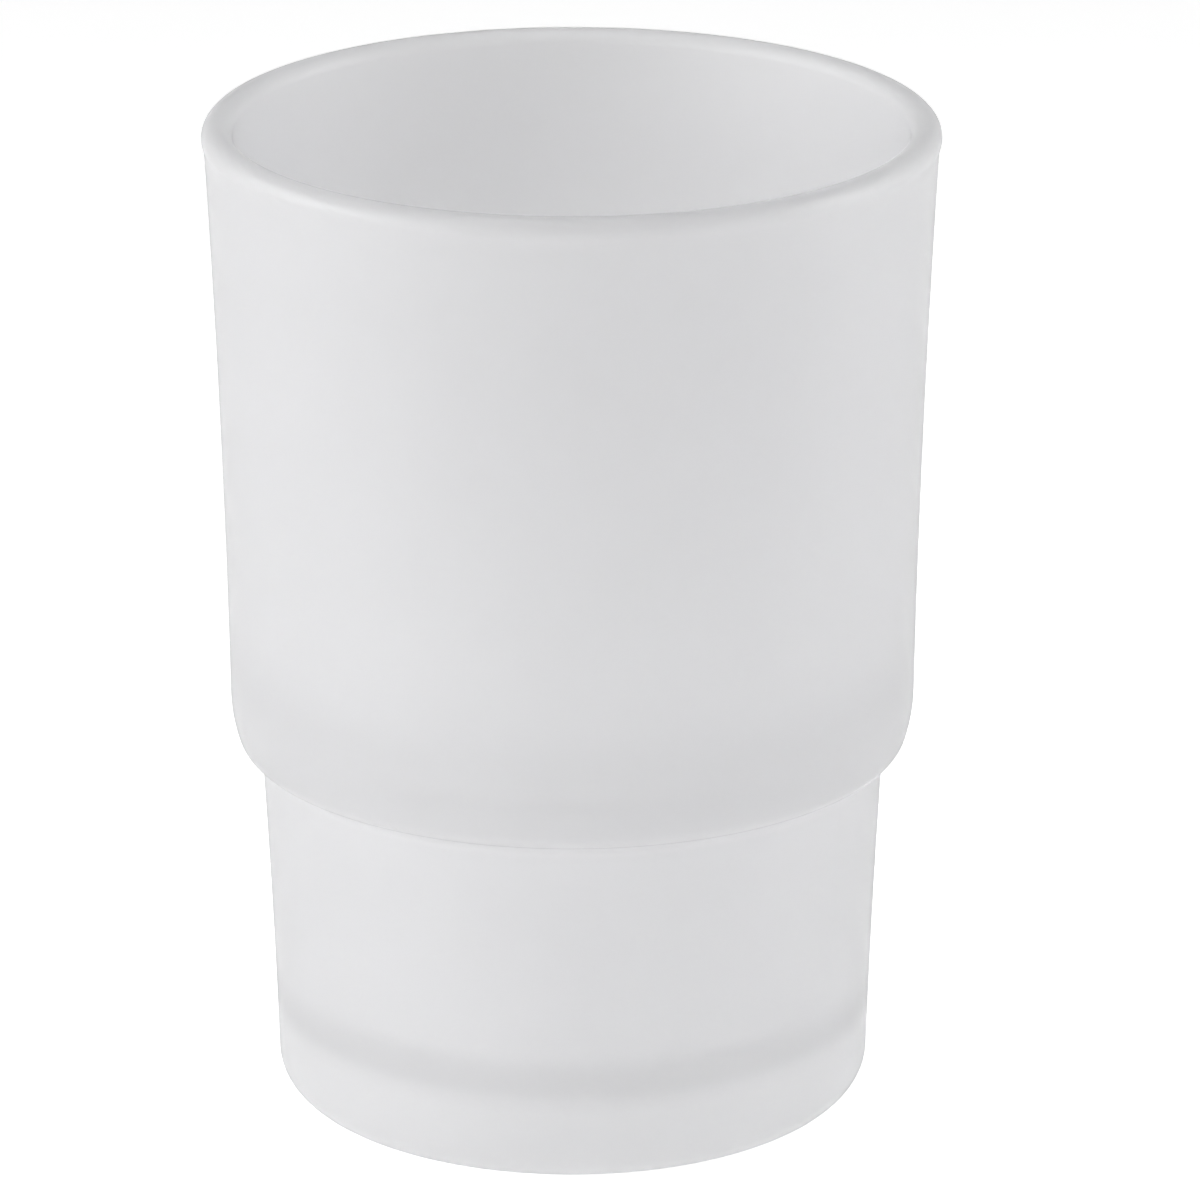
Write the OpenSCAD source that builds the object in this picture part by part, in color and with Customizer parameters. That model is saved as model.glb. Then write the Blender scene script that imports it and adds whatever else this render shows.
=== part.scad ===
// Bathroom tumbler: one piece of pressed glass with a satin-etched skin. It has a flared bowl,
// a long shoulder whose lower edge can rest on a holder ring, a narrower lower body, and a heavy
// base with a hollow underside. It stands on the XY plane with its axis on Z. Sizes are
// millimetres.

/* [Bowl] */
// Height of the whole tumbler
height = 98; // [85:0.5:115]
// Outer diameter of the bowl where the shoulder starts to turn in
bowl_d = 66.7; // [62:0.1:72]
// How much farther out the bowl's wall stands when it is carried up to the very top
mouth_flare = 1.86; // [1:0.02:3]
// How far the bowl's wall bows inward between those two, which makes the mouth flare
bowl_bow = 0.29; // [0.1:0.01:0.8]
// Thickness of the wall, from the rim to the base
wall = 2.8; // [2:0.05:3.5]

/* [Rim] */
// How far the fire-finished bead of the rim stands proud of the wall outside
rim_lip = 0.2; // [0.05:0.01:0.4]
// Radius of the hollow where the bead runs out into the wall
rim_blend = 6; // [1:0.5:12]

/* [Shoulder] */
// Height above the table at which the shoulder starts to turn in
shoulder_z = 41; // [36:0.1:46]
// How far below that the shoulder's lower edge lies, which rests on a holder ring
shoulder_drop = 5.58; // [4.6:0.02:6.6]
// Radius of the shoulder's long round
shoulder_r = 14.5; // [11:0.1:20]
// Radius of the tight round at the shoulder's lower edge
edge_r = 1.8; // [0.8:0.05:2.4]
// How much farther in than the bowl the lower body's wall stands, at that edge
neck_step = 2.9; // [2.4:0.02:3.6]
// Radius of the hollow between the edge and the lower body
neck_hollow_r = 1.2; // [0.5:0.05:1.8]

/* [Inner face] */
// How much higher than the shoulder the inner face starts to turn in
inner_rise = 5; // [0:0.1:8]
// Radius of the round at the foot of the bowl inside
inner_round_r = 14; // [6:0.5:20]
// Radius of the turn from that round down into the lower body
inner_neck_r = 9; // [4:0.5:14]

/* [Lower body] */
// How much farther in than at the shoulder the lower body's wall stands, carried to the table
body_draft = 1.46; // [0.5:0.01:2.5]
// How far the lower body's wall bows inward between those two
body_bow = 0.15; // [0.1:0.005:0.5]
// Radius of the heel, between the lower body and the underside
heel_r = 3.4; // [1.5:0.1:5]

/* [Base] */
// Thickness of the glass from the table to the inner floor
floor_z = 8.3; // [6:0.1:14]
// Radius of the inner floor's corner
floor_r = 4.5; // [2:0.1:8]
// Width of the flat ring that the tumbler stands on
foot_ring = 3.5; // [2:0.1:8]
// Depth of the hollow in the underside, at its middle
punt_depth = 1.3; // [0.4:0.1:3]

/* [Hidden] */
$fn = 120;
// Straight runs that stand for a bowed wall, and the largest turn and fewest runs of a round
bow_runs = 10;
round_turn = 6;
round_runs = 6;
glass = [0.86, 0.87, 0.88];

// Points of the section are [distance from the axis, height above the table]
function toward(angle) = [cos(angle), sin(angle)];
function angle_from(point, target) = atan2(target[1] - point[1], target[0] - point[0]);
function turn(from, to) = (to - from + 540) % 360 - 180;

// Points along a round or a hollow, by the shorter way. `end` says whether the last one is
// kept, or is left to the stretch that follows.
function round_face(centre, r, from, to, end = true) =
    let (runs = max(round_runs, ceil(abs(turn(from, to)) / round_turn)))
    [for (i = [0 : runs - (end ? 0 : 1)]) centre + r * toward(from + turn(from, to) * i / runs)];

// A bowed wall is an arc from `low` to `high`, hollow to the outside, held as
// [centre, radius of its outer face]
function bowed(low, high, bow) =
    let (chord = norm(high - low),
         r = (pow(chord / 2, 2) + bow * bow) / (2 * bow),
         outward = [high[1] - low[1], low[0] - high[0]] / chord)
    [(low + high) / 2 + (r - bow) * outward, r];

// Points between the levels of `low` and `high` on a bowed wall, `inset` inside its outer face
function bowed_face(arc, inset, low, high) =
    let (from = angle_from(arc[0], low), sweep = turn(from, angle_from(arc[0], high)))
    [for (i = [1 : bow_runs - 1]) arc[0] + (arc[1] + inset) * toward(from + sweep * i / bow_runs)];

// The point at height `z` on a circle, on its right side or, with -1, on its left side
function on_circle(centre, r, z, side = 1) =
    [centre[0] + side * sqrt(pow(r, 2) - pow(z - centre[1], 2)), z];

// The point at height `z` that lies `inset` inside the outer face of a bowed wall
function inside(arc, inset, z) = on_circle(arc[0], arc[1] + inset, z, -1);

// Where a circle round `c1`, far out on the right, crosses one round `c2`, on the lower side
function crossing(c1, r1, c2, r2) =
    let (gap = norm(c2 - c1),
         along = (gap * gap + r1 * r1 - r2 * r2) / (2 * gap),
         aside = sqrt(r1 * r1 - along * along),
         dir = (c2 - c1) / gap)
    c1 + along * dir + aside * [-dir[1], dir[0]];

bowl_radius = bowl_d / 2;
neck_radius = bowl_radius - neck_step;
edge_z = shoulder_z - shoulder_drop;
bowl = bowed([bowl_radius, shoulder_z], [bowl_radius + mouth_flare, height], bowl_bow);
lower = bowed([neck_radius - body_draft, 0], [neck_radius, edge_z], body_bow);

// Centres of the rounds and hollows. Each one touches its neighbours along the section.
bead_r = (wall + rim_lip) / 2;
bead = inside(bowl, wall - bead_r, height - bead_r);
rim_hollow = crossing(bowl[0], bowl[1] - rim_blend, bead, bead_r + rim_blend);
shoulder = inside(bowl, shoulder_r, shoulder_z);
edge = on_circle(shoulder, shoulder_r - edge_r, edge_z + edge_r);
neck_hollow = crossing(lower[0], lower[1] - neck_hollow_r, edge, edge_r + neck_hollow_r);
inner_round = inside(bowl, wall + inner_round_r, shoulder_z + inner_rise);
inner_neck = crossing(lower[0], lower[1] + wall - inner_neck_r, inner_round, inner_round_r + inner_neck_r);
heel = inside(lower, heel_r, heel_r);
corner = inside(lower, wall + floor_r, floor_z + floor_r);

// The hollow in the underside is part of a ball, and starts inside the standing ring
punt_edge = [heel[0] - foot_ring, 0];
punt_r = (pow(punt_edge[0], 2) + pow(punt_depth, 2)) / (2 * punt_depth);
punt = [0, punt_depth - punt_r];

// The wall's outer face from the heel up to the rim
function outer_face() = concat(
    bowed_face(lower, 0, heel, neck_hollow),
    round_face(neck_hollow, neck_hollow_r,
               angle_from(lower[0], neck_hollow), angle_from(neck_hollow, edge), end = false),
    round_face(edge, edge_r, angle_from(edge, neck_hollow), angle_from(shoulder, edge), end = false),
    round_face(shoulder, shoulder_r, angle_from(shoulder, edge), angle_from(shoulder, bowl[0])),
    bowed_face(bowl, 0, shoulder, rim_hollow)
);

// The wall's inner face from the floor's corner up to the rim
function inner_face() = concat(
    bowed_face(lower, wall, corner, inner_neck),
    round_face(inner_neck, inner_neck_r,
               angle_from(lower[0], inner_neck), angle_from(inner_neck, inner_round), end = false),
    round_face(inner_round, inner_round_r,
               angle_from(inner_round, inner_neck), angle_from(inner_round, bowl[0])),
    bowed_face(bowl, wall, inner_round, bead)
);

function rim_face() = concat(
    round_face(rim_hollow, rim_blend,
               angle_from(bowl[0], rim_hollow), angle_from(rim_hollow, bead), end = false),
    round_face(bead, bead_r, angle_from(bead, rim_hollow), 90, end = false),
    round_face(bead, bead_r, 90, angle_from(bowl[0], bead))
);

function reverse(points) = [for (i = [len(points) - 1 : -1 : 0]) points[i]];

// Half of the tumbler's section: the underside, the outer face, the rim, the inner face and
// the inner floor
module section() {
    polygon(concat(
        round_face(punt, punt_r, 90, angle_from(punt, punt_edge)),
        round_face(heel, heel_r, -90, angle_from(heel, lower[0])),
        outer_face(),
        rim_face(),
        reverse(inner_face()),
        round_face(corner, floor_r, angle_from(corner, lower[0]), -90),
        [[0, floor_z]]
    ));
}

module tumbler() {
    color(glass) rotate_extrude() section();
}

tumbler();
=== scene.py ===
"""Dress the satin-etched bathroom tumbler, its pale studio and the photograph's camera.

Sizes in the classes are millimetres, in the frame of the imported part: the tumbler stands on the
XY plane with its axis on Z. Meshes, lamps and the camera are handed to Blender in metres.
"""

import logging
import math
from dataclasses import dataclass, field
from enum import Enum

import bpy
import numpy as np
from mathutils import Matrix, Vector


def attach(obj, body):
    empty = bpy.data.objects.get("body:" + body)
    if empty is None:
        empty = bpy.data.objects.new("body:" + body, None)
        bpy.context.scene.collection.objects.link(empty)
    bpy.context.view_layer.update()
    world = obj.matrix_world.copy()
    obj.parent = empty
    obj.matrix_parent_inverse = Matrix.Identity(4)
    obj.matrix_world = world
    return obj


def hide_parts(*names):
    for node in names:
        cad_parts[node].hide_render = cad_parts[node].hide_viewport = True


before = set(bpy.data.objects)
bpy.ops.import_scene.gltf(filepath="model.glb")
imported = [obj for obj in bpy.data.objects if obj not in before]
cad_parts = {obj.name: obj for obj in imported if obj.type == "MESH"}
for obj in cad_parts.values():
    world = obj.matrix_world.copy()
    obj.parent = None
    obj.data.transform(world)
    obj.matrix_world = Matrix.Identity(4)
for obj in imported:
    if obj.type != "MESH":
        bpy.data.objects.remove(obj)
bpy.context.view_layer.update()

LOG = logging.getLogger("tumbler")
MM = 0.001
NODE = "tumbler"
BODY = "root"


def linear(code: str, alpha: float = 1.0) -> tuple[float, float, float, float]:
    """Turn an sRGB hex colour into the linear colour that a shader socket takes.

    Args:
        code: Colour as "#RRGGBB".
        alpha: Fourth channel.

    Returns:
        Linear red, green and blue, and alpha.
    """
    shares = [int(code[i:i + 2], 16) / 255 for i in (1, 3, 5)]
    red, green, blue = (s / 12.92 if s <= 0.04045 else ((s + 0.055) / 1.055) ** 2.4 for s in shares)
    return red, green, blue, alpha


def add_node(tree: bpy.types.NodeTree, kind: str, settings: dict | None = None,
             links: dict | None = None) -> bpy.types.Node:
    """Add one shader node with its settings, and join other nodes' outputs to its inputs.

    Args:
        tree: Node tree that takes the node.
        kind: Blender's name for the kind of node.
        settings: Values by the name or the index of an input, or by the name of a property.
        links: Output sockets by the name or the index of the input that each one feeds.

    Returns:
        The new node.
    """
    node = tree.nodes.new(kind)
    for name, value in (settings or {}).items():
        if isinstance(name, int) or name in node.inputs:
            node.inputs[name].default_value = value
        else:
            setattr(node, name, value)
    for name, output in (links or {}).items():
        tree.links.new(output, node.inputs[name])
    return node


def new_tree(owner: bpy.types.Material | bpy.types.World) -> bpy.types.NodeTree:
    """Give a material or a world an empty node tree.

    Args:
        owner: Material or world that takes the tree.

    Returns:
        The empty tree.
    """
    owner.use_nodes = True
    owner.node_tree.nodes.clear()
    return owner.node_tree


def toward(degrees: np.ndarray | float) -> np.ndarray:
    """Unit vectors (outward, up) at angles measured from the outward direction."""
    angle = np.radians(degrees)
    return np.stack([np.cos(angle), np.sin(angle)], axis=-1)


def angle_from(point: np.ndarray, target: np.ndarray) -> float:
    """Direction in degrees from one point of the section to another."""
    return math.degrees(math.atan2(target[1] - point[1], target[0] - point[0]))


def turn(start: float, end: float) -> float:
    """Signed turn in degrees from one direction to another, by the shorter way."""
    return (end - start + 540) % 360 - 180


class Side(Enum):
    """The two sides of a circle of the section, as signs of the outward direction."""

    NEAR_AXIS = -1
    OUTER = 1


@dataclass(frozen=True)
class Arc:
    """A circle of the section, as its centre (outward, up) and its radius in millimetres."""

    centre: np.ndarray
    radius: float

    def run(self, start: float, end: float, pieces: int, last: bool = True) -> np.ndarray:
        """Points along the circle, centre + radius * (cos a, sin a), with a in even steps.

        Args:
            start: First direction in degrees.
            end: Last direction in degrees, reached by the shorter way.
            pieces: Number of equal steps.
            last: Whether the last point is kept, or is left to the stretch that follows.

        Returns:
            Points as rows of (outward, up).
        """
        angles = start + turn(start, end) * np.linspace(0, 1, pieces + 1)
        points = self.centre + self.radius * toward(angles)
        return points if last else points[:-1]

    def at_height(self, height: float, inset: float = 0.0,
                  side: Side = Side.NEAR_AXIS) -> np.ndarray:
        """Find the point at a height on the circle, or past it.

        Args:
            height: Height of the point above the table.
            inset: How far outside the circle the point lies.
            side: Which of the two points at that height is meant.

        Returns:
            The point as (outward, up).
        """
        reach = math.sqrt((self.radius + inset) ** 2 - (height - self.centre[1]) ** 2)
        return np.array([self.centre[0] + side.value * reach, height])

    def widened(self, by: float) -> "Arc":
        """The circle about the same centre with its radius changed."""
        return Arc(self.centre, self.radius + by)


def bowed_wall(low: np.ndarray, high: np.ndarray, bow: float) -> Arc:
    """The circle of a wall that bows towards the axis between two points of its outer face.

    The circle's centre lies outside the glass, where the chord's middle is moved outward by the
    radius less the bow, and the radius is (half the chord squared + bow squared) / (2 * bow).

    Args:
        low: Lower point of the outer face.
        high: Upper point of the outer face.
        bow: Depth of the bow at the middle of the chord.

    Returns:
        The circle that the outer face follows.
    """
    chord = high - low
    length = float(np.hypot(*chord))
    radius = ((length / 2) ** 2 + bow ** 2) / (2 * bow)
    outward = np.array([chord[1], -chord[0]]) / length
    return Arc((low + high) / 2 + (radius - bow) * outward, radius)


def lower_crossing(far: Arc, near: Arc) -> np.ndarray:
    """Find where a circle centred far outside the glass crosses a near one.

    Args:
        far: Circle centred far outside the glass.
        near: Circle centred in the glass or beside it.

    Returns:
        The lower of the two crossings, as (outward, up).
    """
    gap = near.centre - far.centre
    length = float(np.hypot(*gap))
    along = (length ** 2 + far.radius ** 2 - near.radius ** 2) / (2 * length)
    aside = math.sqrt(far.radius ** 2 - along ** 2)
    direction = gap / length
    return far.centre + along * direction + aside * np.array([-direction[1], direction[0]])


@dataclass
class GlassSection:
    """Half of the tumbler's section, with the sizes of the real glass in millimetres.

    The walls are bowed arcs, and every round and hollow between them touches its neighbours, so
    the section stays smooth when a size changes.
    """

    height: float = 98.0
    bowl_diameter: float = 66.7
    mouth_flare: float = 1.86
    bowl_bow: float = 0.29
    wall: float = 2.8
    rim_lip: float = 0.2
    rim_blend: float = 6.0
    shoulder_height: float = 41.0
    shoulder_drop: float = 5.58
    shoulder_radius: float = 14.5
    edge_radius: float = 1.8
    neck_step: float = 2.9
    neck_hollow_radius: float = 1.2
    inner_rise: float = 5.0
    inner_round_radius: float = 14.0
    inner_neck_radius: float = 9.0
    body_draft: float = 1.46
    body_bow: float = 0.15
    heel_radius: float = 3.4
    floor_thickness: float = 8.3
    floor_radius: float = 4.5
    foot_ring: float = 3.5
    punt_depth: float = 1.3
    round_pieces: int = 14
    wall_pieces: int = 40
    bowl: Arc = field(init=False)
    lower: Arc = field(init=False)
    bead: Arc = field(init=False)
    rim_hollow: Arc = field(init=False)
    shoulder: Arc = field(init=False)
    edge: Arc = field(init=False)
    neck_hollow: Arc = field(init=False)
    inner_round: Arc = field(init=False)
    inner_neck: Arc = field(init=False)
    heel: Arc = field(init=False)
    corner: Arc = field(init=False)
    punt: Arc = field(init=False)
    punt_edge: np.ndarray = field(init=False)

    def __post_init__(self) -> None:
        """Find the circles of the section, each of which touches its neighbours."""
        bowl_radius = self.bowl_diameter / 2
        neck_radius = bowl_radius - self.neck_step
        foot = self.shoulder_height - self.shoulder_drop
        mouth_radius = bowl_radius + self.mouth_flare
        self.bowl = bowed_wall(np.array([bowl_radius, self.shoulder_height]),
                               np.array([mouth_radius, self.height]), self.bowl_bow)
        self.lower = bowed_wall(np.array([neck_radius - self.body_draft, 0.0]),
                                np.array([neck_radius, foot]), self.body_bow)
        bead = (self.wall + self.rim_lip) / 2
        self.bead = Arc(self.bowl.at_height(self.height - bead, self.wall - bead), bead)
        self.rim_hollow = Arc(lower_crossing(self.bowl.widened(-self.rim_blend),
                                             self.bead.widened(self.rim_blend)), self.rim_blend)
        self.shoulder = Arc(self.bowl.at_height(self.shoulder_height, self.shoulder_radius),
                            self.shoulder_radius)
        self.edge = Arc(self.shoulder.at_height(foot + self.edge_radius, -self.edge_radius,
                                                Side.OUTER), self.edge_radius)
        self.neck_hollow = Arc(lower_crossing(self.lower.widened(-self.neck_hollow_radius),
                                              self.edge.widened(self.neck_hollow_radius)),
                               self.neck_hollow_radius)
        self.inner_round = Arc(self.bowl.at_height(self.shoulder_height + self.inner_rise,
                                                   self.wall + self.inner_round_radius),
                               self.inner_round_radius)
        self.inner_neck = Arc(lower_crossing(self.lower.widened(self.wall - self.inner_neck_radius),
                                             self.inner_round.widened(self.inner_neck_radius)),
                              self.inner_neck_radius)
        self.heel = Arc(self.lower.at_height(self.heel_radius, self.heel_radius), self.heel_radius)
        self.corner = Arc(self.lower.at_height(self.floor_thickness + self.floor_radius,
                                               self.wall + self.floor_radius), self.floor_radius)
        hollow = self.heel.centre[0] - self.foot_ring
        ball = (hollow ** 2 + self.punt_depth ** 2) / (2 * self.punt_depth)
        self.punt = Arc(np.array([0.0, self.punt_depth - ball]), ball)
        self.punt_edge = np.array([hollow, 0.0])

    def wall_run(self, wall: Arc, low: Arc, high: Arc) -> np.ndarray:
        """Points up a bowed wall between two rounds that touch it, without its ends."""
        return wall.run(angle_from(wall.centre, low.centre), angle_from(wall.centre, high.centre),
                        self.wall_pieces)[1:-1]

    def outer_face(self) -> np.ndarray:
        """Run up the outer face: lower body, neck, shoulder and bowl.

        Returns:
            Points as rows of (outward, up).
        """
        low, neck, edge, shoulder = self.lower, self.neck_hollow, self.edge, self.shoulder
        under, lean = angle_from(neck.centre, edge.centre), angle_from(shoulder.centre, edge.centre)
        return np.concatenate([
            self.wall_run(low, self.heel, neck),
            neck.run(angle_from(low.centre, neck.centre), under, self.round_pieces, last=False),
            edge.run(under + 180, lean, self.round_pieces, last=False),
            shoulder.run(lean, angle_from(shoulder.centre, self.bowl.centre), self.round_pieces),
            self.wall_run(self.bowl, shoulder, self.rim_hollow),
        ])

    def inner_face(self) -> np.ndarray:
        """Run up the inner face: lower body, the turn behind the shoulder, and bowl.

        Returns:
            Points as rows of (outward, up).
        """
        low, bowl = self.lower.widened(self.wall), self.bowl.widened(self.wall)
        neck, above = self.inner_neck, self.inner_round
        lean = angle_from(neck.centre, above.centre)
        return np.concatenate([
            self.wall_run(low, self.corner, neck),
            neck.run(angle_from(low.centre, neck.centre), lean, self.round_pieces, last=False),
            above.run(lean + 180, angle_from(above.centre, bowl.centre), self.round_pieces),
            self.wall_run(bowl, above, self.bead),
        ])

    def rim_face(self) -> np.ndarray:
        """Run over the rim: the hollow under its bead and the bead itself.

        Returns:
            Points as rows of (outward, up).
        """
        out, bead, bowl = self.rim_hollow, self.bead, self.bowl
        return np.concatenate([
            out.run(angle_from(bowl.centre, out.centre), angle_from(out.centre, bead.centre),
                    self.round_pieces, last=False),
            bead.run(angle_from(bead.centre, out.centre), 90, self.round_pieces, last=False),
            bead.run(90, angle_from(bowl.centre, bead.centre), self.round_pieces),
        ])

    def outline(self) -> np.ndarray:
        """Run round the section, from the middle of the underside to that of the inner floor.

        Returns:
            Points as rows of (outward, up), anticlockwise.
        """
        corner, heel, low = self.corner, self.heel, self.lower
        floor_edge = corner.centre[0]
        floor = np.stack([np.linspace(floor_edge, 0, self.round_pieces)[1:],
                          np.full(self.round_pieces - 1, self.floor_thickness)], axis=1)
        return np.concatenate([
            self.punt.run(90, angle_from(self.punt.centre, self.punt_edge), self.round_pieces),
            heel.run(-90, angle_from(heel.centre, low.centre), self.round_pieces),
            self.outer_face(),
            self.rim_face(),
            self.inner_face()[::-1],
            corner.run(angle_from(corner.centre, low.centre), -90, self.round_pieces),
            floor,
        ])


def revolve(name: str, outline: np.ndarray, sides: int) -> bpy.types.Object:
    """Turn an outline round Z into a closed mesh.

    A point of the surface at share u round the axis and at row v of the outline is
    (r(v) * cos(2 pi u), r(v) * sin(2 pi u), z(v)). The first and last rows lie on the axis, so
    each one is a single point that closes its end with a fan of triangles.

    Args:
        name: Name of the object and its mesh.
        outline: Rows of (radius, height) in millimetres, anticlockwise round the section.
        sides: Number of steps round the axis.

    Returns:
        The new object, with its place in its mesh.
    """
    radius, height = outline[1:-1].T * MM
    angle = np.linspace(0, 2 * math.pi, sides, endpoint=False)
    rings = np.stack([radius[:, None] * np.cos(angle), radius[:, None] * np.sin(angle),
                      np.broadcast_to(height[:, None], (len(height), sides))], axis=-1)
    poles = np.array([[0, 0, outline[0, 1] * MM], [0, 0, outline[-1, 1] * MM]])
    points = np.concatenate([rings.reshape(-1, 3), poles])
    index = np.arange(len(height) * sides).reshape(len(height), sides)
    after = np.roll(index, -1, axis=1)
    quads = np.stack([index[:-1], after[:-1], after[1:], index[1:]], axis=-1).reshape(-1, 4)
    first, last = len(points) - 2, len(points) - 1
    under = np.stack([np.full(sides, first), after[0], index[0]], axis=-1)
    floor = np.stack([np.full(sides, last), index[-1], after[-1]], axis=-1)
    mesh = bpy.data.meshes.new(name)
    mesh.from_pydata(points.tolist(), [], quads.tolist() + under.tolist() + floor.tolist())
    mesh.polygons.foreach_set("use_smooth", np.ones(len(mesh.polygons), dtype=bool))
    mesh.update()
    piece = bpy.data.objects.new(name, mesh)
    bpy.context.scene.collection.objects.link(piece)
    return piece


@dataclass(frozen=True)
class EtchedGlass:
    """Acid-etched soda-lime glass: a satin skin that blurs what lies behind it to milk white.

    Its soft white, with the inner forms showing as blurred bands, tells the eye that it is clear
    glass with an etched skin. Bands of painted light and shade by height are laid into that white:
    painted light round the solid base, along the lower wall and in the hollow under the shoulder's
    edge, and painted shade round the inner floor's edge, under the shoulder and up the bowl to the
    rim.

    Attributes:
        tint: Even colour of the skin, for a viewer that doesn't read its painted light and shade.
        painted_light_and_shade_mm: Painted light and shade laid into the skin's colour by height
            above the table, from the base to the rim.
        roughness: Blur of the etched skin.
        ior: Refractive index of soda-lime glass.
        transmission: Share of the light that goes through and isn't thrown back by the skin.
        wave_mm: Width of the faint waves of a pressed surface.
        wave_depth_mm: Depth of those waves.
        wave_octaves: Finer layers of the waves.
        wave_gain: Strength of each finer layer.
        grain_mm: Width of the etched grain.
        grain_depth_mm: Depth of that grain.
        grain_octaves: Finer layers of the grain.
        grain_gain: Strength of each finer layer.
    """

    tint: str = "#F6F6F7"
    # Painted light and shade by height: painted light on the base (0 to 7 mm), along the lower wall
    # (14 to 33.8 mm) and in the hollow under the shoulder's edge (34.7 to 35.6 mm); painted shade
    # at the inner floor's edge (10 mm), under the shoulder (37.2 to 43 mm) and growing up the bowl
    # to the rim (96.4 to 98 mm). The bowl at 51 mm keeps the plain tint.
    painted_light_and_shade_mm: tuple[tuple[float, str], ...] = (
        (0.0, "#FEFEFF"), (7.0, "#FEFEFF"), (10.0, "#ECECED"), (14.0, "#F7F7F8"),
        (33.8, "#F7F7F8"), (34.7, "#FBFBFC"), (35.6, "#FBFBFC"), (37.2, "#F0F0F1"),
        (43.0, "#F1F1F2"), (51.0, "#F6F6F7"), (96.4, "#F1F1F2"), (98.0, "#EDEDEE"),
    )
    roughness: float = 0.5
    ior: float = 1.52
    transmission: float = 0.6
    wave_mm: float = 9.0
    wave_depth_mm: float = 0.02
    wave_octaves: float = 1.0
    wave_gain: float = 0.4
    grain_mm: float = 0.5
    grain_depth_mm: float = 0.003
    grain_octaves: float = 2.0
    grain_gain: float = 0.5

    def paint_light_and_shade_by_height(self, tree: bpy.types.NodeTree,
                       place: bpy.types.NodeSocket) -> bpy.types.NodeSocket:
        """Paint light and shade into the skin's colour by height above the table, easing from one
        stop to the next.

        Args:
            tree: Node tree that takes the nodes.
            place: Object coordinates.

        Returns:
            The skin's colour, with its painted light and shade.
        """
        top = self.painted_light_and_shade_mm[-1][0]
        height = add_node(tree, "ShaderNodeSeparateXYZ", links={0: place})
        share = add_node(tree, "ShaderNodeMapRange", {"From Max": top * MM},
                         {"Value": height.outputs["Z"]})
        ramp = add_node(tree, "ShaderNodeValToRGB", links={"Fac": share.outputs[0]})
        ramp.color_ramp.interpolation = "EASE"
        stops = ramp.color_ramp.elements
        # Each stop is a band of painted light or painted shade at its height.
        for level, code in self.painted_light_and_shade_mm[1:-1]:
            stops.new(level / top).color = linear(code)
        stops[0].color, stops[-1].color = linear(self.painted_light_and_shade_mm[0][1]), linear(self.painted_light_and_shade_mm[-1][1])
        return ramp.outputs["Color"]

    def material(self) -> bpy.types.Material:
        """Build the finish.

        Returns:
            The material, whose bumps follow Object coordinates at their real scale.
        """
        finish = bpy.data.materials.new("satin_etched_soda_lime_glass")
        tree = new_tree(finish)
        place = add_node(tree, "ShaderNodeTexCoord")
        wave = add_node(tree, "ShaderNodeTexNoise",
                        {"Scale": 1 / (self.wave_mm * MM), "Detail": self.wave_octaves,
                         "Roughness": self.wave_gain},
                        {"Vector": place.outputs["Object"]})
        grain = add_node(tree, "ShaderNodeTexNoise",
                         {"Scale": 1 / (self.grain_mm * MM), "Detail": self.grain_octaves,
                          "Roughness": self.grain_gain},
                         {"Vector": place.outputs["Object"]})
        pressed = add_node(tree, "ShaderNodeBump", {"Distance": self.wave_depth_mm * MM},
                           {"Height": wave.outputs["Fac"]})
        etched = add_node(tree, "ShaderNodeBump", {"Distance": self.grain_depth_mm * MM},
                          {"Height": grain.outputs["Fac"], "Normal": pressed.outputs["Normal"]})
        # The base colour is fed by the painted light and shade by height; the tint stays only as
        # the socket's own value.
        skin = add_node(tree, "ShaderNodeBsdfPrincipled",
                        {"Base Color": linear(self.tint), "Roughness": self.roughness,
                         "IOR": self.ior, "Transmission Weight": self.transmission},
                        {"Normal": etched.outputs["Normal"],
                         "Base Color": self.paint_light_and_shade_by_height(tree, place.outputs["Object"])})
        add_node(tree, "ShaderNodeOutputMaterial", links={"Surface": skin.outputs["BSDF"]})
        return finish


@dataclass
class Tumbler:
    """The one piece of glass, with its section and its finish."""

    section: GlassSection = field(default_factory=GlassSection)
    finish: EtchedGlass = field(default_factory=EtchedGlass)
    sides: int = 256

    def build(self) -> bpy.types.Object:
        """Make the glass, dress it and put it in the place of its CAD node.

        Returns:
            The finished piece.
        """
        piece = revolve("tumbler_glass", self.section.outline(), self.sides)
        piece.data.materials.append(self.finish.material())
        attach(piece, BODY)
        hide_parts(NODE)
        return piece


@dataclass(frozen=True)
class Softbox:
    """A soft rectangular lamp that faces the tumbler's axis.

    Attributes:
        name: Name of the lamp.
        azimuth_deg: Direction of the lamp from the axis, turning right from the camera's side.
        height_mm: Height of the lamp's middle above the table.
        distance_mm: Distance of that middle from the axis, on the level.
        wide_mm: Width of the lamp.
        tall_mm: Height of the lamp's own face.
        watts: Power of the lamp.
        aim_mm: Height on the axis that the lamp faces.
    """

    name: str
    azimuth_deg: float
    height_mm: float
    distance_mm: float
    wide_mm: float
    tall_mm: float
    watts: float
    aim_mm: float = 50.0

    def build(self) -> bpy.types.Object:
        """Place the lamp.

        Returns:
            The lamp, as an area light.
        """
        data = bpy.data.lights.new(self.name, "AREA")
        data.shape = "RECTANGLE"
        data.size = self.wide_mm * MM
        data.size_y = self.tall_mm * MM
        data.energy = self.watts
        lamp = bpy.data.objects.new(self.name, data)
        angle = math.radians(self.azimuth_deg)
        place = Vector((math.sin(angle) * self.distance_mm, -math.cos(angle) * self.distance_mm,
                        self.height_mm)) * MM
        facing = (place - Vector((0, 0, self.aim_mm * MM))).to_track_quat("Z", "Y")
        lamp.matrix_world = Matrix.Translation(place) @ facing.to_matrix().to_4x4()
        bpy.context.scene.collection.objects.link(lamp)
        return lamp


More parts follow.
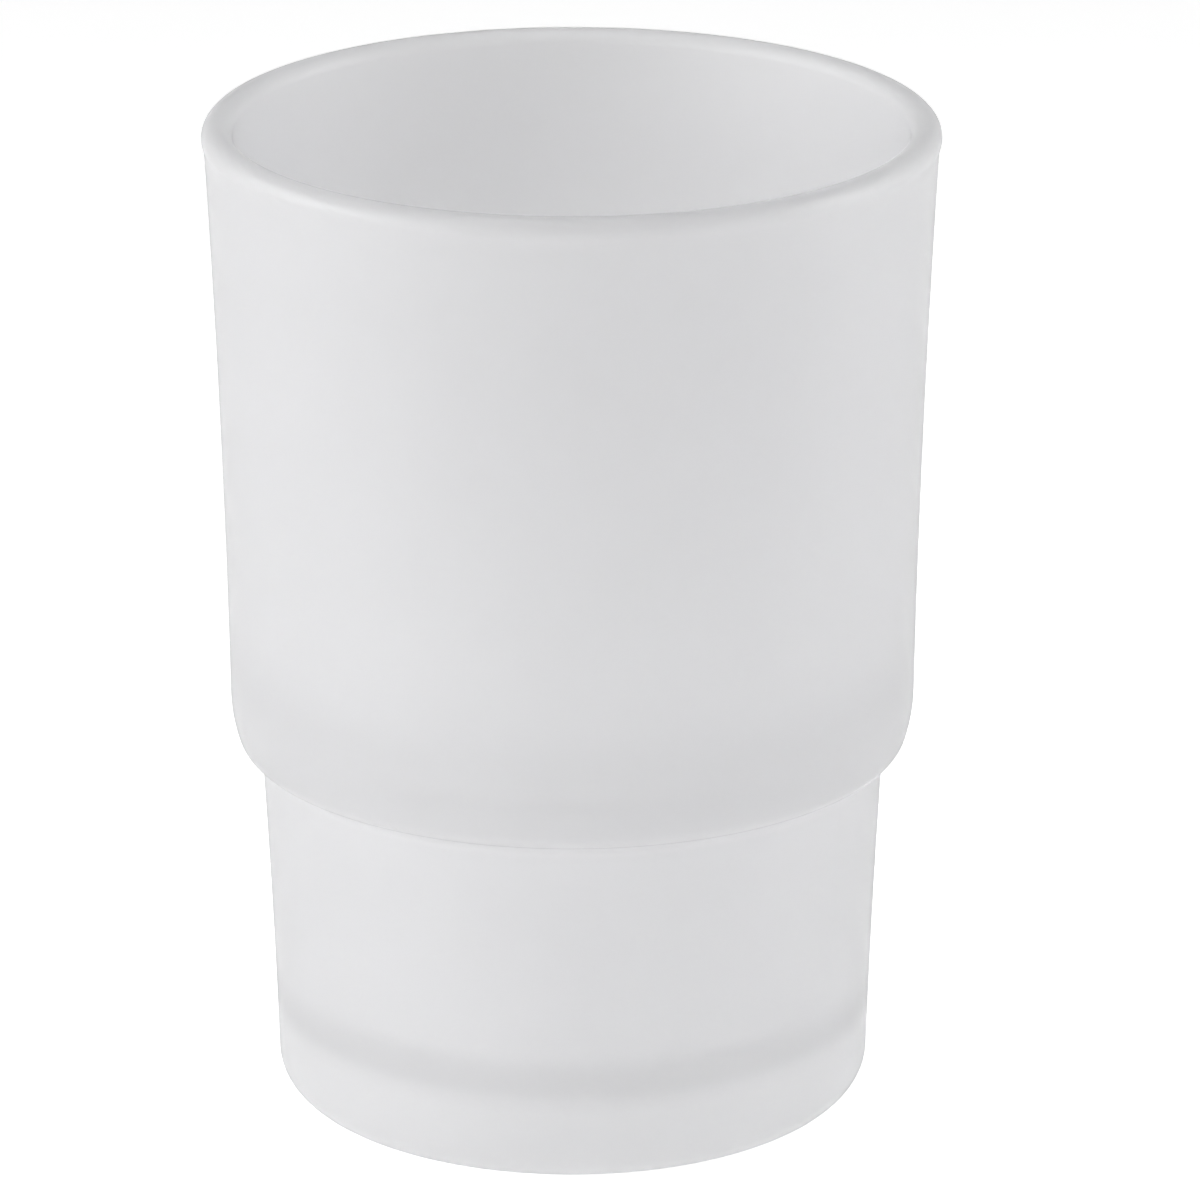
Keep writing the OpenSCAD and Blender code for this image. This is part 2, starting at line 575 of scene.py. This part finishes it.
@dataclass
class Studio:
    """A pale floor under a white surround, lit by softboxes.

    The surround is white to the camera and in the glass but lights nothing. The floor keeps the
    tumbler's shadow and is lifted to white where it is seen.

    Attributes:
        floor_radius_mm: Radius of the floor.
        floor_sides: Corners of the floor's edge.
        floor_gap_mm: Gap under the standing ring, so that the two don't share a plane.
        floor_colour: Colour of the floor.
        floor_lift: Glow added to the floor for the rays that see it.
        floor_in_glass: Share of plain white in the floor that shows in the glass, which would
            otherwise stand in its own shadow.
        surround: Light that the surround gives to the set.
        lamps: The lamps.
    """

    floor_radius_mm: float = 2500.0
    floor_sides: int = 96
    floor_gap_mm: float = 0.05
    floor_colour: str = "#F2F2F2"
    floor_lift: float = 0.63
    floor_in_glass: float = 0.5
    surround: float = 0.0
    lamps: tuple[Softbox, ...] = (
        Softbox("left_softbox", -95.0, 190.0, 880.0, 400.0, 900.0, 4.6),
        Softbox("front_left_softbox", -60.0, 190.0, 880.0, 400.0, 900.0, 4.4),
        Softbox("near_left_softbox", -30.0, 190.0, 880.0, 400.0, 900.0, 0.4),
        Softbox("right_softbox", 95.0, 190.0, 880.0, 400.0, 900.0, 5.9),
        Softbox("low_front_strip", 13.0, 40.0, 300.0, 500.0, 60.0, 0.31, 15.0),
        Softbox("top_softbox", 0.0, 900.0, 20.0, 500.0, 500.0, 1.8),
    )

    def rays_in_glass(self, tree: bpy.types.NodeTree) -> bpy.types.NodeSocket:
        """Tell the rays in the glass from all others.

        Args:
            tree: Node tree that takes the nodes.

        Returns:
            One where a reflection or a refraction meets the backdrop, otherwise zero.
        """
        path = add_node(tree, "ShaderNodeLightPath")
        either = add_node(tree, "ShaderNodeMath", {"operation": "MAXIMUM"},
                          {0: path.outputs["Is Glossy Ray"],
                           1: path.outputs["Is Transmission Ray"]})
        return either.outputs[0]

    def rays_that_see_the_backdrop(self, tree: bpy.types.NodeTree) -> bpy.types.NodeSocket:
        """Tell the rays that see the backdrop from those that only carry its light.

        Args:
            tree: Node tree that takes the nodes.

        Returns:
            One where a ray from the camera, a reflection or a refraction meets the backdrop,
            otherwise zero.
        """
        path = add_node(tree, "ShaderNodeLightPath")
        seen = add_node(tree, "ShaderNodeMath", {"operation": "MAXIMUM"},
                        {0: path.outputs["Is Camera Ray"], 1: self.rays_in_glass(tree)})
        return seen.outputs[0]

    def build_world(self) -> None:
        """Show white to every ray that sees the backdrop, and leave the lighting to the lamps."""
        world = bpy.data.worlds.new("white_surround")
        tree = new_tree(world)
        strength = add_node(tree, "ShaderNodeMapRange", {"To Min": self.surround, "To Max": 1.0},
                            {"Value": self.rays_that_see_the_backdrop(tree)})
        light = add_node(tree, "ShaderNodeBackground", {"Color": linear("#FFFFFF")},
                         {"Strength": strength.outputs[0]})
        add_node(tree, "ShaderNodeOutputWorld", links={"Surface": light.outputs["Background"]})
        bpy.context.scene.world = world

    def build_floor(self) -> bpy.types.Object:
        """Lay the pale floor, lifted to white for the rays that see it, so that its shadows stay.

        Returns:
            The floor.
        """
        angle = np.linspace(0, 2 * math.pi, self.floor_sides, endpoint=False)
        radius, level = self.floor_radius_mm * MM, -self.floor_gap_mm * MM
        ring = np.stack([radius * np.cos(angle), radius * np.sin(angle),
                         np.full(len(angle), level)], axis=1)
        mesh = bpy.data.meshes.new("floor")
        mesh.from_pydata(ring.tolist(), [], [list(range(len(ring)))])
        floor = bpy.data.objects.new("floor", mesh)
        bpy.context.scene.collection.objects.link(floor)
        finish = bpy.data.materials.new("matt_white_floor")
        tree = new_tree(finish)
        skin = add_node(tree, "ShaderNodeBsdfDiffuse", {"Color": linear(self.floor_colour)})
        lift = add_node(tree, "ShaderNodeMath", {"operation": "MULTIPLY", 1: self.floor_lift},
                        {0: self.rays_that_see_the_backdrop(tree)})
        glow = add_node(tree, "ShaderNodeEmission", {"Color": linear("#FFFFFF")},
                        {"Strength": lift.outputs[0]})
        both = add_node(tree, "ShaderNodeAddShader", None,
                        {0: skin.outputs["BSDF"], 1: glow.outputs["Emission"]})
        white = add_node(tree, "ShaderNodeEmission", {"Color": linear("#FFFFFF"), "Strength": 1.0})
        share = add_node(tree, "ShaderNodeMapRange", {"To Max": self.floor_in_glass},
                         {"Value": self.rays_in_glass(tree)})
        shown = add_node(tree, "ShaderNodeMixShader", None,
                         {"Fac": share.outputs[0], 1: both.outputs["Shader"],
                          2: white.outputs["Emission"]})
        add_node(tree, "ShaderNodeOutputMaterial", links={"Surface": shown.outputs["Shader"]})
        mesh.materials.append(finish)
        return floor

    def build(self) -> None:
        """Build the surround, the floor and the lamps."""
        self.build_world()
        self.build_floor()
        for lamp in self.lamps:
            lamp.build()


@dataclass
class PhotoCamera:
    """The photograph's view: a long lens a little above the tumbler.

    Attributes:
        distance_mm: Distance from the tumbler's axis, on the level.
        height_mm: Height above the table.
        pitch_deg: How far the lens looks down.
        yaw_deg: How far it looks to the right.
        focal_px: Focal length in pixels of the photograph.
        frame_px: Width of the photograph in pixels.
        sensor_mm: Width of the sensor.
        nearest_mm: Nearest distance that the camera sees.
        farthest_mm: Farthest distance that it sees.
    """

    distance_mm: float = 692.3
    height_mm: float = 289.04
    pitch_deg: float = 19.0942
    yaw_deg: float = 0.2235
    focal_px: float = 7521.4
    frame_px: float = 1200.0
    sensor_mm: float = 36.0
    nearest_mm: float = 10.0
    farthest_mm: float = 20000.0

    def build(self) -> bpy.types.Object:
        """Place the camera.

        Returns:
            The camera, set as the scene's own.
        """
        data = bpy.data.cameras.new("photo_camera")
        data.sensor_fit = "HORIZONTAL"
        data.sensor_width = self.sensor_mm
        data.lens = self.focal_px / self.frame_px * self.sensor_mm
        data.clip_start = self.nearest_mm * MM
        data.clip_end = self.farthest_mm * MM
        camera = bpy.data.objects.new("photo_camera", data)
        camera.location = (0, -self.distance_mm * MM, self.height_mm * MM)
        camera.rotation_euler = (math.radians(90 - self.pitch_deg), 0, -math.radians(self.yaw_deg))
        bpy.context.scene.collection.objects.link(camera)
        bpy.context.scene.camera = camera
        return camera


def main() -> None:
    """Build the tumbler and its studio."""
    logging.basicConfig(level=logging.INFO, format="%(message)s")
    bpy.context.scene.view_settings.view_transform = "Standard"
    PhotoCamera().build()
    piece = Tumbler().build()
    LOG.info("%s: %d faces", piece.name, len(piece.data.polygons))
    Studio().build()


if __name__ == "__main__":
    main()
